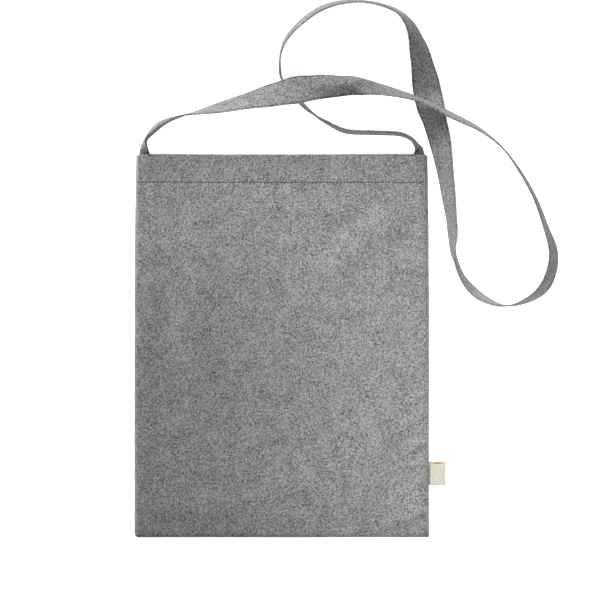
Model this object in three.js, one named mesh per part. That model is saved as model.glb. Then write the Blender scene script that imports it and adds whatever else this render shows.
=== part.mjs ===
// Grey cotton shoulder bag, lying on its back with its long strap laid in loops above the mouth.
// Millimetres, +Z up. The origin is the middle of the back panel, on the surface that it lies on.
// +X is the right side of the bag, +Y points to its mouth.
import * as THREE from 'three';

// Driving dimensions of the bag: cloth thickness, mouth and bottom, and the turned hem
const BAG = { wall: 1.0, mouthY: 191, bottomY: -191, hemDepth: 28, hemLayer: 1.0, hemSideClear: 4.5 };
const SEAM_GAP = 0.3;
const SEAM_TOP = 2 * BAG.wall + SEAM_GAP;
const HEM_Y = BAG.mouthY - BAG.hemDepth;
const HEM_RAMP = 0.3;

// The front panel falls to the bottom seam over this length, and the lower corners are rounded
const BOTTOM_FALL = 70;
const CORNER_RADIUS = { left: 4, right: 1.2 };

// Sections of the front panel from mouth to bottom: half width, height of its top face over the
// surface, width of the fall to the side seam, and how far the middle sags below the crown
const SECTIONS = [
  { y: 191, half: 145.2, crown: 15.0, fall: 3.4, sag: 5.0 },
  { y: 163, half: 145.8, crown: 12.4, fall: 5, sag: 2.8 },
  { y: 110, half: 146.5, crown: 10.6, fall: 28, sag: 0.8 },
  { y: 40, half: 146.9, crown: 10.0, fall: 60, sag: 0 },
  { y: -80, half: 146.9, crown: 9.8, fall: 72, sag: 0 },
  { y: -191, half: 146.9, crown: 9.2, fall: 78, sag: 0 },
];

// Soft folds of the front panel: middle, direction of the crease, reach along and across it,
// and height (a dent is negative)
const FOLDS = [
  { x: 96, y: -150, angle: 38, along: 60, across: 13, height: -0.8 },
  { x: 70, y: -118, angle: 35, along: 75, across: 16, height: 0.7 },
  { x: 40, y: -70, angle: 58, along: 80, across: 24, height: -0.6 },
  { x: 112, y: -30, angle: 80, along: 90, across: 22, height: 0.7 },
  { x: -104, y: -60, angle: 92, along: 110, across: 26, height: -0.6 },
  { x: -60, y: 60, angle: 70, along: 90, across: 30, height: 0.5 },
];

// The strap: width, width where its ends are gathered into the seams and the length of that taper,
// thickness, and the stretch across its middle that takes a lengthwise fold
const STRAP = { width: 28, endWidth: 22, taper: 48, thick: 1.6, foldZone: 8, stepsPerRow: 3 };

// Places across the strap where its section has points, from edge to edge, as parts of half its width
const STRAP_ACROSS = [-1, -0.62, -0.28, -0.14, 0, 0.14, 0.28, 0.62, 1];

// The strap's route along its middle line, from the left corner of the mouth to the right one.
// lift is the height of its lowest edge over the surface, roll turns its width about the route
// (0 and 180 lie flat, 90 and 270 stand on edge), and fold closes it lengthwise (180 is shut)
const ROUTE = [
  { x: -141.4, y: 167, lift: 2.5, roll: 90, fold: 180 },
  { x: -141.4, y: 180, lift: 2.5, roll: 90, fold: 180 },
  { x: -141.2, y: 191.5, lift: 2.4, roll: 90, fold: 170 },
  { x: -139.6, y: 198.5, lift: 1, roll: 90, fold: 85 },
  { x: -135.8, y: 205.2, lift: 0.5, roll: 90, fold: 10 },
  { x: -130.6, y: 214.2, lift: 0.4, roll: 90, fold: 34 },
  { x: -123, y: 222, lift: 0.4, roll: 91, fold: 44 },
  { x: -112, y: 226.4, lift: 0.4, roll: 92, fold: 24 },
  { x: -98, y: 229.5, lift: 0.4, roll: 94, fold: 4 },
  { x: -67, y: 235.8, lift: 5.5, roll: 111, fold: 0 },
  { x: -31, y: 243, lift: 19.5, roll: 130, fold: 0 },
  { x: 4.5, y: 250.7, lift: 30.8, roll: 155, fold: 6 },
  { x: 23, y: 254.2, lift: 31, roll: 164, fold: 24 },
  { x: 43, y: 259.6, lift: 25.5, roll: 161, fold: 74 },
  { x: 63, y: 260.6, lift: 21.5, roll: 152, fold: 80 },
  { x: 81, y: 259, lift: 16.8, roll: 128, fold: 48 },
  { x: 102, y: 254.1, lift: 12.8, roll: 115, fold: 8 },
  { x: 141, y: 242.4, lift: 11, roll: 103, fold: 0 },
  { x: 161.5, y: 231.2, lift: 15, roll: 104, fold: 0 },
  { x: 179, y: 223.5, lift: 9.5, roll: 102, fold: 0 },
  { x: 197, y: 214.8, lift: 3.6, roll: 98, fold: 0 },
  { x: 219, y: 197.5, lift: 0.8, roll: 97, fold: 0 },
  { x: 237, y: 173.5, lift: 0.4, roll: 98, fold: 0 },
  { x: 251.5, y: 147.5, lift: 0.4, roll: 100, fold: 0 },
  { x: 262.7, y: 117.5, lift: 0.4, roll: 105, fold: 0 },
  { x: 269.9, y: 94, lift: 0.4, roll: 111, fold: 0 },
  { x: 268.4, y: 75.5, lift: 0.4, roll: 114, fold: 0 },
  { x: 261, y: 59, lift: 0.4, roll: 112, fold: 0 },
  { x: 246, y: 47, lift: 0.4, roll: 103, fold: 0 },
  { x: 224, y: 40.4, lift: 0.4, roll: 90, fold: 0 },
  { x: 204.5, y: 45.6, lift: 0.4, roll: 77, fold: 0 },
  { x: 188, y: 58.5, lift: 0.4, roll: 72, fold: 0 },
  { x: 174.4, y: 84, lift: 0.4, roll: 84, fold: 0 },
  { x: 168, y: 133, lift: 0.4, roll: 107, fold: 0 },
  { x: 159.3, y: 195, lift: 0.4, roll: 129, fold: 0 },
  { x: 153, y: 222, lift: 0.4, roll: 144, fold: 0 },
  { x: 148.3, y: 240, lift: 0.4, roll: 165, fold: 0 },
  { x: 145, y: 256, lift: 0.7, roll: 183, fold: 0 },
  { x: 142, y: 271, lift: 0.7, roll: 202, fold: 0 },
  { x: 138.5, y: 287, lift: 0.4, roll: 219, fold: 0 },
  { x: 134, y: 304, lift: 0.4, roll: 234, fold: 0 },
  { x: 126.6, y: 319, lift: 0.4, roll: 250, fold: 0 },
  { x: 114.7, y: 332.3, lift: 0.4, roll: 258, fold: 0 },
  { x: 80, y: 342.8, lift: 0.4, roll: 261, fold: 0 },
  { x: 42, y: 335.7, lift: 0.4, roll: 260, fold: 0 },
  { x: 8.5, y: 311, lift: 0.4, roll: 265, fold: 0 },
  { x: 0, y: 295, lift: 0.4, roll: 270, fold: 0 },
  { x: -1.8, y: 280, lift: 0.4, roll: 273, fold: 0 },
  { x: 0.4, y: 264.5, lift: 0.4, roll: 274, fold: 0 },
  { x: 19.7, y: 241.2, lift: 0.4, roll: 277, fold: 0 },
  { x: 31.5, y: 230.7, lift: 0.4, roll: 273, fold: 0 },
  { x: 46, y: 221.3, lift: 0.4, roll: 271, fold: -2 },
  { x: 63, y: 214.8, lift: 0.4, roll: 270, fold: -6 },
  { x: 89.7, y: 213.6, lift: 0.4, roll: 269, fold: -8 },
  { x: 116, y: 211.6, lift: 0.4, roll: 269, fold: -6 },
  { x: 128.5, y: 206.4, lift: 0.5, roll: 269, fold: -6 },
  { x: 138, y: 199.4, lift: 1, roll: 269, fold: -62 },
  { x: 141.3, y: 192.6, lift: 2.4, roll: 270, fold: -170 },
  { x: 141.4, y: 180, lift: 2.5, roll: 270, fold: -180 },
  { x: 141.4, y: 167, lift: 2.5, roll: 270, fold: -180 },
];

// The loop label in the right side seam: its tape, how far it stands out, where it sits along the
// seam, and how far its upper leaf starts below the lower one at the open upper end
const LABEL = { tape: 1.0, reach: 16.6, topY: -116, bottomY: -138.8, skew: 1.6, foldRadius: 1.3, floorGap: 0.15 };

const CLOTH = { color: 0x8b8b89, roughness: 0.92, metalness: 0 };
const TAPE = { color: 0xe6dfcd, roughness: 0.88, metalness: 0 };

const UP = new THREE.Vector3(0, 0, 1);
const rad = THREE.MathUtils.degToRad;
const { lerp, smoothstep } = THREE.MathUtils;

// Parabola from 0 at a seam to 1 at the full fall
function fallOff(distance, fall) {
  const t = Math.min(Math.max(distance / fall, 0), 1);
  return 1 - (1 - t) * (1 - t);
}

// Section values at a height on the bag, eased between the table's rows
function sectionAt(y) {
  let i = 0;
  while (i < SECTIONS.length - 2 && y < SECTIONS[i + 1].y) i += 1;
  const [above, below] = [SECTIONS[i], SECTIONS[i + 1]];
  const t = smoothstep(above.y - y, 0, above.y - below.y);
  const mix = (key) => lerp(above[key], below[key], t);
  return { half: mix('half'), crown: mix('crown'), fall: mix('fall'), sag: mix('sag') };
}

// Half width on one side, drawn in round the lower corner
function halfWidth(y, side) {
  const radius = side < 0 ? CORNER_RADIUS.left : CORNER_RADIUS.right;
  const inset = Math.min(Math.max(radius - (y - BAG.bottomY), 0), radius);
  return sectionAt(y).half - (radius - Math.sqrt(radius * radius - inset * inset));
}

function foldHeight(x, y) {
  let height = 0;
  for (const fold of FOLDS) {
    const [c, s] = [Math.cos(rad(fold.angle)), Math.sin(rad(fold.angle))];
    const along = ((x - fold.x) * c + (y - fold.y) * s) / fold.along;
    const across = ((y - fold.y) * c - (x - fold.x) * s) / fold.across;
    height += fold.height * Math.exp(-along * along - across * across);
  }
  return height;
}

// Top face of the front panel
function frontTop(x, y) {
  const section = sectionAt(y);
  const half = halfWidth(y, Math.sign(x));
  const side = fallOff(half - Math.abs(x), section.fall);
  const bottom = fallOff(y - BAG.bottomY, BOTTOM_FALL);
  const middle = 1 - (x / section.half) ** 2;
  const body = section.crown - SEAM_TOP + foldHeight(x, y) - section.sag * middle * middle;
  return SEAM_TOP + body * side * bottom;
}

// Way from the front panel's top face straight through its cloth, square to the bag's length
function frontInward(x, y) {
  const step = 0.05;
  const slope = (frontTop(x + step, y) - frontTop(x - step, y)) / (2 * step);
  return new THREE.Vector3(slope, 0, -1).normalize();
}

// Closed solid between two grids of points with the same rows and columns
function thickSheet(faceA, faceB) {
  const rows = faceA.length;
  const columns = faceA[0].length;
  const points = [...faceA.flat(), ...faceB.flat()];
  const a = (i, j) => i * columns + j;
  const b = (i, j) => rows * columns + a(i, j);
  const index = [];
  const quad = (p, q, r, s) => index.push(p, q, r, p, r, s);
  for (let i = 0; i < rows - 1; i += 1) {
    for (let j = 0; j < columns - 1; j += 1) {
      quad(a(i, j), a(i, j + 1), a(i + 1, j + 1), a(i + 1, j));
      quad(b(i, j), b(i + 1, j), b(i + 1, j + 1), b(i, j + 1));
    }
    quad(a(i, 0), a(i + 1, 0), b(i + 1, 0), b(i, 0));
    quad(a(i + 1, columns - 1), a(i, columns - 1), b(i, columns - 1), b(i + 1, columns - 1));
  }
  for (let j = 0; j < columns - 1; j += 1) {
    quad(a(0, j + 1), a(0, j), b(0, j), b(0, j + 1));
    quad(a(rows - 1, j), a(rows - 1, j + 1), b(rows - 1, j + 1), b(rows - 1, j));
  }
  let volume = 0;
  for (let k = 0; k < index.length; k += 3) {
    const [p, q, r] = [points[index[k]], points[index[k + 1]], points[index[k + 2]]];
    volume += p.dot(q.clone().cross(r));
  }
  if (volume < 0) index.reverse();
  const geometry = new THREE.BufferGeometry().setFromPoints(points);
  geometry.setIndex(index);
  geometry.computeVertexNormals();
  return geometry;
}

function namedMesh(name, geometry, finish) {
  const mesh = new THREE.Mesh(geometry, new THREE.MeshStandardMaterial(finish));
  mesh.name = name;
  return mesh;
}

// Rows of a panel from bottom to mouth: close at the bottom seam, then even, and a short ramp at the hem
function panelRows(evenRows) {
  const nearBottom = [0, 0.8, 2.2, 4.5, 10, 20, 34, 50];
  const rows = nearBottom.map((d) => BAG.bottomY + d);
  const start = BAG.bottomY + BOTTOM_FALL;
  for (let i = 0; i <= evenRows; i += 1) rows.push(lerp(start, HEM_Y - HEM_RAMP, i / evenRows));
  return [...rows, HEM_Y + HEM_RAMP, (HEM_Y + BAG.mouthY) / 2, BAG.mouthY];
}

// Columns of a panel at one height: close together on the fall to each side seam, even between
function panelColumns(y, evenColumns) {
  const onFall = [0, 0.12, 0.3, 0.6, 1];
  const fall = sectionAt(y).fall;
  const left = onFall.map((t) => -halfWidth(y, -1) + t * fall);
  const right = onFall.map((t) => halfWidth(y, 1) - t * fall).reverse();
  const even = [];
  for (let i = 1; i < evenColumns; i += 1) even.push(lerp(left.at(-1), right[0], i / evenColumns));
  return [...left, ...even, ...right];
}

function frontPanel() {
  const top = [];
  const under = [];
  for (const y of panelRows(12)) {
    const thick = BAG.wall + (y > HEM_Y ? BAG.hemLayer : 0);
    const columns = panelColumns(y, 14);
    const onTop = columns.map((x) => new THREE.Vector3(x, y, frontTop(x, y)));
    top.push(onTop);
    under.push(onTop.map((point) => point.clone().addScaledVector(frontInward(point.x, y), thick)));
  }
  return namedMesh('front_panel', thickSheet(top, under), CLOTH);
}

// The back panel lies flat. Its hem stops short of the sides, where the front panel comes down to it
function backPanel() {
  const top = [];
  const under = [];
  for (const y of panelRows(6)) {
    const [left, right] = [-halfWidth(y, -1), halfWidth(y, 1)];
    const [hemLeft, hemRight] = [left + BAG.hemSideClear, right - BAG.hemSideClear];
    const between = [0, 0.25, 0.5, 0.75, 1].map((t) => lerp(hemLeft, hemRight, t));
    const columns = [left, hemLeft - HEM_RAMP, ...between, hemRight + HEM_RAMP, right];
    const hem = y > HEM_Y ? BAG.hemLayer : 0;
    const inHem = (x) => x >= hemLeft && x <= hemRight;
    top.push(columns.map((x) => new THREE.Vector3(x, y, BAG.wall + (inHem(x) ? hem : 0))));
    under.push(columns.map((x) => new THREE.Vector3(x, y, 0)));
  }
  return namedMesh('back_panel', thickSheet(top, under), CLOTH);
}

// Point and normal across a strap that is folded lengthwise by an angle: p runs from edge to edge,
// q stands off the face that the fold bulges to
function foldedSection(s, angle) {
  const halfZone = STRAP.foldZone / 2;
  const inZone = Math.min(Math.max(s, -halfZone), halfZone);
  const turn = (angle * inZone) / STRAP.foldZone;
  const straight = s - inZone;
  const flat = Math.abs(angle) < 1e-4;
  const radius = STRAP.foldZone / angle;
  const p = flat ? inZone : radius * Math.sin(turn);
  const q = flat ? 0 : radius * (Math.cos(turn) - 1);
  return {
    p: p + straight * Math.cos(turn),
    q: q - straight * Math.sin(turn),
    normalP: Math.sin(turn),
    normalQ: Math.cos(turn),
  };
}

// Height of the strap's middle line over its lowest edge
function middleOverLowest(row) {
  const [c, s] = [Math.cos(rad(row.roll)), Math.sin(rad(row.roll))];
  const heights = STRAP_ACROSS.map((place) => {
    const at = foldedSection((place * STRAP.width) / 2, rad(row.fold));
    return at.p * s - at.q * c;
  });
  return STRAP.thick / 2 - Math.min(...heights);
}

function shoulderStrap() {
  const places = ROUTE.map((row) => new THREE.Vector3(row.x, row.y, row.lift + middleOverLowest(row)));
  const route = new THREE.CatmullRomCurve3(places);
  const turnRows = ROUTE.map((row) => new THREE.Vector3(row.roll, row.fold, 0));
  const turns = new THREE.CatmullRomCurve3(turnRows, false, 'catmullrom');
  const stations = (ROUTE.length - 1) * STRAP.stepsPerRow;
  const length = route.getLength();
  const faceA = [];
  const faceB = [];
  let travelled = 0;
  let previous = places[0];
  for (let i = 0; i <= stations; i += 1) {
    const t = i / stations;
    const middle = route.getPoint(t);
    const along = route.getTangent(t);
    const turn = turns.getPoint(t);
    travelled += middle.distanceTo(previous);
    previous = middle;
    const toEnd = Math.max(Math.min(travelled, length - travelled), 0);
    const halfWide = lerp(STRAP.endWidth, STRAP.width, smoothstep(toEnd, STRAP.taper / 2, STRAP.taper)) / 2;
    const left = UP.clone().cross(along).normalize();
    const [c, s] = [Math.cos(rad(turn.x)), Math.sin(rad(turn.x))];
    const width = left.clone().multiplyScalar(c).addScaledVector(UP, s);
    const bulge = left.clone().multiplyScalar(s).addScaledVector(UP, -c);
    const face = (side) => STRAP_ACROSS.map((place) => {
      const at = foldedSection(place * halfWide, rad(turn.y));
      const off = (side * STRAP.thick) / 2;
      return middle.clone()
        .addScaledVector(width, at.p + off * at.normalP)
        .addScaledVector(bulge, at.q + off * at.normalQ);
    });
    faceA.push(face(1));
    faceB.push(face(-1));
  }
  return namedMesh('shoulder_strap', thickSheet(faceA, faceB), CLOTH);
}

// The label's tape runs out along the surface, round its fold and back to the seam above itself
function sideLabel() {
  const half = LABEL.tape / 2;
  const seamX = sectionAt(LABEL.topY).half + SEAM_GAP;
  const lowZ = LABEL.floorGap + half;
  const rootZ = lowZ + LABEL.tape + SEAM_GAP;
  const foldX = seamX + LABEL.reach - LABEL.foldRadius - half;
  const foldZ = lowZ + LABEL.foldRadius;
  const foldSteps = 6;
  const path = [{ x: seamX, z: lowZ, turn: 0 }];
  for (let i = 0; i <= foldSteps; i += 1) {
    const turn = (Math.PI * i) / foldSteps;
    const x = foldX + LABEL.foldRadius * Math.sin(turn);
    path.push({ x, z: foldZ - LABEL.foldRadius * Math.cos(turn), turn });
  }
  path.push({ x: seamX, z: rootZ, turn: Math.PI });
  const face = (side) => path.map((at, i) => {
    const x = at.x + side * half * Math.sin(at.turn);
    const z = at.z - side * half * Math.cos(at.turn);
    const topY = LABEL.topY - (LABEL.skew * i) / (path.length - 1);
    return [new THREE.Vector3(x, topY, z), new THREE.Vector3(x, LABEL.bottomY, z)];
  });
  return namedMesh('side_label', thickSheet(face(1), face(-1)), TAPE);
}

const bag = new THREE.Group();
bag.name = 'cotton_bag';
bag.add(backPanel(), frontPanel(), shoulderStrap(), sideLabel());
export default bag;
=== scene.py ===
"""Grey cotton shoulder bag, lying on its back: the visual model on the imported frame."""
import logging
import math
from dataclasses import dataclass, field
from enum import Enum
from typing import Any, Sequence, Union

import bpy
import numpy as np
from mathutils import Matrix


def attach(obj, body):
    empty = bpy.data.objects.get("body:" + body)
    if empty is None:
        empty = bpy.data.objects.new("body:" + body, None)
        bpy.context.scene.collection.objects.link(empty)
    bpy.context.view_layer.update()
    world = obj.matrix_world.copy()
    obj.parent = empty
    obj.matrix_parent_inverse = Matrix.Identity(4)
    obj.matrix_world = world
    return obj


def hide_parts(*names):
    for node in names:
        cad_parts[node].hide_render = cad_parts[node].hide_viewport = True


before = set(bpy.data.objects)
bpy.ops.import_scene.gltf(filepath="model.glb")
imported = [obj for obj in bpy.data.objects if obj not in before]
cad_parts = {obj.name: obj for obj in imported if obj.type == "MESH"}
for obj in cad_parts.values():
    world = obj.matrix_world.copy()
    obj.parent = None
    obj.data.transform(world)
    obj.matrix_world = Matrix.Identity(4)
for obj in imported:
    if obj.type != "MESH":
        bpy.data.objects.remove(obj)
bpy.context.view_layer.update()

MM = 0.001
CLOTH_UV = "cloth_mm"
LOG = logging.getLogger("cotton_bag")

Array = np.ndarray
Piece = bpy.types.Object
Material = bpy.types.Material
Socket = bpy.types.NodeSocket
Pair = tuple[float, float]
Point = tuple[float, float, float]
Colour = Point
Operand = Union["Value", float]


class Held(Enum):
    """How a sheet of cloth is held."""

    LAID = "laid"
    FOLDED = "folded"


class Side(Enum):
    """A side of the bag, by the sign of X."""

    LEFT = -1
    RIGHT = 1


class ClothFace(Enum):
    """A face of a sheet, by the sign of its normal."""

    OUTER = 1
    INNER = -1


def smoothstep(x: Array, low: float, high: float) -> Array:
    """Smooth rise from 0 at low to 1 at high."""
    t = np.clip((x - low) / (high - low), 0.0, 1.0)
    return t * t * (3.0 - 2.0 * t)


def fade(distance: Array, reach: float) -> Array:
    """Fall from 1 at a seam towards 0 inside it, to about a third at reach."""
    return np.exp(-np.clip(distance, 0, None) / reach)


def unit(vectors: Array) -> Array:
    """Vectors scaled to length 1 along the last axis."""
    return vectors / np.linalg.norm(vectors, axis=-1, keepdims=True)


def flat_place(points: Array) -> Array:
    """Flat place of each point of a grid, by its distances along the cloth from the grid's middle.

    Args:
        points: Rows by columns by 3.

    Returns:
        Rows by columns by 2.
    """
    across = np.cumsum(np.linalg.norm(np.diff(points, axis=1, prepend=points[:, :1]), axis=-1), axis=1)
    along = np.cumsum(np.linalg.norm(np.diff(points, axis=0, prepend=points[:1]), axis=-1), axis=0)
    middle_row, middle_column = points.shape[0] // 2, points.shape[1] // 2
    return np.stack([across - across[:, middle_column, None], along - along[middle_row]], axis=-1)


def mesh_object(
    name: str,
    points: Array,
    faces: Sequence[Sequence[int]],
    slots: Sequence[int],
    materials: Sequence[Material],
) -> Piece:
    """Makes a smooth-shaded object in the scene.

    Args:
        name: Its name.
        points: Its points in millimetres.
        faces: Corners of its faces.
        slots: Material slot of each face.
        materials: Its materials.

    Returns:
        The object.
    """
    mesh = bpy.data.meshes.new(name)
    mesh.from_pydata((points * MM).tolist(), [], faces)
    for material in materials:
        mesh.materials.append(material)
    mesh.polygons.foreach_set("material_index", np.array(slots, dtype=np.int32))
    mesh.polygons.foreach_set("use_smooth", np.ones(len(faces), dtype=bool))
    mesh.update()
    made = bpy.data.objects.new(name, mesh)
    bpy.context.collection.objects.link(made)
    return made


class Value:
    """A shader socket that takes part in Python arithmetic."""

    def __init__(self, shade: "Shade", socket: Socket) -> None:
        """Wraps a socket of a shade's node tree."""
        self.shade = shade
        self.socket = socket

    def _math(self, operation: str, first: Operand, second: Operand) -> "Value":
        """Result of one Math node on two operands."""
        node = self.shade.node("ShaderNodeMath", {"operation": operation}, {0: first, 1: second})
        return Value(self.shade, node.outputs[0])

    def __add__(self, other: Operand) -> "Value":
        """self + other."""
        return self._math("ADD", self, other)

    __radd__ = __add__

    def __sub__(self, other: Operand) -> "Value":
        """self - other."""
        return self._math("SUBTRACT", self, other)

    def __rsub__(self, other: Operand) -> "Value":
        """other - self."""
        return self._math("SUBTRACT", other, self)

    def __mul__(self, other: Operand) -> "Value":
        """self * other."""
        return self._math("MULTIPLY", self, other)

    __rmul__ = __mul__

    def cosine(self) -> "Value":
        """The cosine of an angle in radians."""
        return self._math("COSINE", self, 0.0)

    def absolute(self) -> "Value":
        """The value without its sign."""
        return self._math("ABSOLUTE", self, 0.0)

    def above(self, other: Operand) -> "Value":
        """1 where the value is greater than other, 0 elsewhere."""
        return self._math("GREATER_THAN", self, other)

    def ramp(self, low: float, high: float) -> "Value":
        """0 at low to 1 at high, clamped."""
        node = self.shade.node(
            "ShaderNodeMapRange", None, {"Value": self, "From Min": low, "From Max": high}
        )
        return Value(self.shade, node.outputs["Result"])


class Shade:
    """A node material under construction."""

    def __init__(self, name: str) -> None:
        """Starts an empty node material.

        Args:
            name: The material's name.
        """
        self.material = bpy.data.materials.new(name)
        self.material.use_nodes = True
        self.tree = self.material.node_tree
        self.tree.nodes.clear()

    def node(
        self,
        kind: str,
        settings: dict[str, Any] | None = None,
        inputs: dict[int | str, Any] | None = None,
    ) -> bpy.types.Node:
        """Adds a node.

        Args:
            kind: The node's type.
            settings: Properties that are set before its sockets.
            inputs: Values or links of its sockets, by index or name.

        Returns:
            The node.
        """
        made = self.tree.nodes.new(kind)
        for name, setting in (settings or {}).items():
            setattr(made, name, setting)
        for name, given in (inputs or {}).items():
            if isinstance(given, Value):
                given = given.socket
            if isinstance(given, Socket):
                self.tree.links.new(given, made.inputs[name])
            else:
                made.inputs[name].default_value = given
        return made

    def cloth_mm(self) -> tuple[Value, Value, Socket]:
        """Place on the cloth in millimetres.

        Returns:
            Place across the cloth, place along it, and both as a vector.
        """
        uv = self.node("ShaderNodeUVMap", {"uv_map": CLOTH_UV})
        split = self.node("ShaderNodeSeparateXYZ", None, {0: uv.outputs["UV"]})
        return Value(self, split.outputs["X"]), Value(self, split.outputs["Y"]), uv.outputs["UV"]

    def noise(self, place: Socket, per_mm: Pair, detail: float, offset: float) -> Value:
        """Noise on the cloth, from about 0.25 to 0.75.

        Args:
            place: Place on the cloth in millimetres.
            per_mm: Features per millimetre across and along the cloth.
            detail: Octaves of finer noise.
            offset: Shift that tells one noise from another.

        Returns:
            The noise value.
        """
        shift = (offset, 1.7 * offset, offset)
        moved = {"Vector": place, "Location": shift, "Scale": (*per_mm, 1.0)}
        at = self.node("ShaderNodeMapping", None, moved).outputs[0]
        inputs = {"Vector": at, "Scale": 1.0, "Detail": detail, "Roughness": 0.55}
        node = self.node("ShaderNodeTexNoise", None, inputs)
        return Value(self, node.outputs["Fac"])

    def blend(self, factor: Operand, low: Any, high: Any) -> Socket:
        """Mix of two colours or sockets, low at factor 0 and high at factor 1."""
        inputs = {
            0: factor,
            6: (*low, 1.0) if isinstance(low, tuple) else low,
            7: (*high, 1.0) if isinstance(high, tuple) else high,
        }
        return self.node("ShaderNodeMix", {"data_type": "RGBA"}, inputs).outputs[2]

    def relief(self, height: Value, strength: float, distance: float) -> Socket:
        """Bumped normal from a height of 0 to 1, with the bump's real height in metres."""
        inputs = {"Strength": strength, "Distance": distance, "Height": height}
        return self.node("ShaderNodeBump", None, inputs).outputs[0]

    def finish(self, inputs: dict[str, Any]) -> Material:
        """Closes the material with a principled shader.

        Args:
            inputs: The shader's values and links.

        Returns:
            The finished material.
        """
        shader = self.node("ShaderNodeBsdfPrincipled", None, inputs)
        self.node("ShaderNodeOutputMaterial", None, {"Surface": shader.outputs[0]})
        return self.material


@dataclass(frozen=True)
class MelangeCotton:
    """Plain-woven cotton of mixed light and dark fibres."""

    name: str = "grey_melange_cotton"
    dark: Colour = (0.02, 0.02, 0.0195)
    light: Colour = (0.38, 0.38, 0.372)
    speck: Colour = (0.045, 0.045, 0.044)
    pale: Colour = (0.47, 0.47, 0.46)
    thread_mm: float = 0.75

    def material(self) -> Material:
        """The cloth's material, on the piece's own map in millimetres.

        Returns:
            The material.
        """
        shade = Shade(self.name)
        across, along, place = shade.cloth_mm()
        turn = math.pi / self.thread_mm
        warp_wave = (across * turn).cosine()
        weft_wave = (along * turn).cosine()
        crossing = (warp_wave * weft_wave).above(0.0)
        warp = shade.noise(place, (1.15, 0.62), 1.0, 3.1)
        weft = shade.noise(place, (0.72, 1.15), 1.0, 17.3)
        fibre = warp * crossing + weft * (1.0 - crossing)
        mottle = shade.noise(place, (0.62, 0.56), 1.0, 41.7)
        cloud = shade.noise(place, (0.07, 0.05), 2.0, 71.9)
        tone = (fibre * 0.9 + mottle * 1.1 + cloud * 0.3).ramp(0.76, 1.54)
        body = shade.blend(tone, self.dark, self.light)
        specks = shade.noise(place, (0.47, 0.52), 0.0, 97.1).ramp(0.73, 0.82)
        pales = shade.noise(place, (0.6, 0.5), 0.0, 131.3).ramp(0.73, 0.82)
        flecked = shade.blend(pales * 0.4, shade.blend(specks * 0.75, body, self.speck), self.pale)
        weave = (warp_wave * weft_wave).absolute()
        height = weave * 0.6 + fibre * 0.4
        return shade.finish(
            {
                "Base Color": flecked,
                "Roughness": 0.86 + fibre * 0.14,
                "Specular IOR Level": 0.18,
                "Sheen Weight": 0.12,
                "Sheen Roughness": 0.6,
                "Normal": shade.relief(height, 0.45, 0.00022),
            }
        )


@dataclass(frozen=True)
class WovenTape:
    """Fine cream tape of the side label."""

    name: str
    base: Colour
    shade_base: Colour
    thread_mm: float = 0.36

    def material(self) -> Material:
        """The tape's material, with its ribs across the piece's own map.

        Returns:
            The material.
        """
        shade = Shade(self.name)
        across, along, place = shade.cloth_mm()
        turn = math.pi / self.thread_mm
        weave = ((across * turn).cosine() * (along * turn * 0.7).cosine()).absolute()
        slub = shade.noise(place, (0.7, 1.6), 2.0, 5.3)
        soil = shade.noise(place, (0.16, 0.16), 2.0, 29.0)
        tone = (slub * 0.7 + soil * 0.6 + weave * 0.25).ramp(0.45, 1.05)
        return shade.finish(
            {
                "Base Color": shade.blend(tone, self.shade_base, self.base),
                "Roughness": 0.8 + slub * 0.15,
                "Specular IOR Level": 0.2,
                "Sheen Weight": 0.08,
                "Normal": shade.relief(weave * 0.7 + slub * 0.3, 0.35, 0.00012),
            }
        )


@dataclass(frozen=True)
class SewingThread:
    """Twisted thread of the stitches, or a dark bead that paints the shade of a needle puncture."""

    name: str
    low: Colour
    high: Colour
    twists_per_m: float = 2600.0

    def material(self) -> Material:
        """The thread's material, with its twist on object coordinates.

        Returns:
            The material.
        """
        shade = Shade(self.name)
        place = shade.node("ShaderNodeTexCoord").outputs["Object"]
        inputs = {"Vector": place, "Scale": self.twists_per_m, "Detail": 1.0}
        noise = shade.node("ShaderNodeTexNoise", None, inputs)
        twist = Value(shade, noise.outputs["Fac"])
        return shade.finish(
            {
                "Base Color": shade.blend(twist.ramp(0.3, 0.7), self.low, self.high),
                "Roughness": 0.72 + twist * 0.2,
                "Specular IOR Level": 0.2,
            }
        )


@dataclass(frozen=True)
class PaleFloor:
    """White lit table under the bag."""

    name: str = "pale_floor"
    base: Colour = (0.92, 0.92, 0.92)
    glow: float = 0.78
    grain_per_m: float = 6.0

    def material(self) -> Material:
        """The floor's material.

        Returns:
            The material.
        """
        shade = Shade(self.name)
        place = shade.node("ShaderNodeTexCoord").outputs["Object"]
        noise = shade.node("ShaderNodeTexNoise", None, {"Vector": place, "Scale": self.grain_per_m})
        grain = Value(shade, noise.outputs["Fac"])
        return shade.finish(
            {
                "Base Color": (*self.base, 1.0),
                "Roughness": 0.7 + grain * 0.1,
                "Emission Color": (1.0, 1.0, 1.0, 1.0),
                "Emission Strength": self.glow,
            }
        )


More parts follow.
